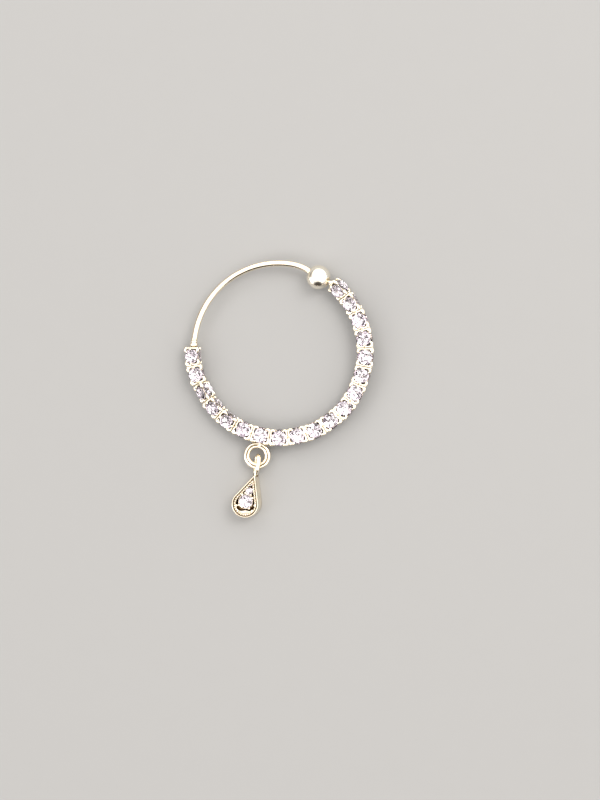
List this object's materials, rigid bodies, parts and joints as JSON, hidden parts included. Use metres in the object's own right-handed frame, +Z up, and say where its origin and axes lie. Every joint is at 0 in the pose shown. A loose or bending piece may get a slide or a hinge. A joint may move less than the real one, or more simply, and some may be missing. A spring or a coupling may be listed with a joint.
{
  "type": "nose ring",
  "caption": "Round hoop nose ring of pale gold with a band of claw-set clear stone beads, a ball catch and a small stone-set teardrop hanging from a soldered ring.",
  "frame": {"origin": "on the table under the middle of the whole piece as it lies on its side", "axes": "+Z up from the table and through the hoop, +Y from the drop towards the plain top of the hoop, +X towards the catch ball's side"},
  "size_m": [0.0194, 0.026, 0.0024],
  "materials": {
    "gold": "polished",
    "stone_band": "polished pale gold claws with clear cut stones",
    "drop_gold": "polished",
    "crystal": "clear, cut and polished"
  },
  "bodies": {
    "root": {"hoop_wire": "gold", "catch_ball": "gold", "collar_wire_end": "gold", "collar_ball_end": "gold", "bead_01": "stone_band", "bead_02": "stone_band", "bead_03": "stone_band", "bead_04": "stone_band", "bead_05": "stone_band", "bead_06": "stone_band", "bead_07_drop_ring": "stone_band", "bead_08": "stone_band", "bead_09": "stone_band", "bead_10": "stone_band", "bead_11": "stone_band", "bead_12": "stone_band", "bead_13": "stone_band", "bead_14": "stone_band", "bead_15": "stone_band", "bead_16": "stone_band", "bead_17": "stone_band", "bead_18": "stone_band", "bead_19": "stone_band", "drop_setting": "drop_gold", "drop_stone_large": "crystal", "drop_stone_middle": "crystal", "drop_stone_small": "crystal"}
  },
  "joints": []
}
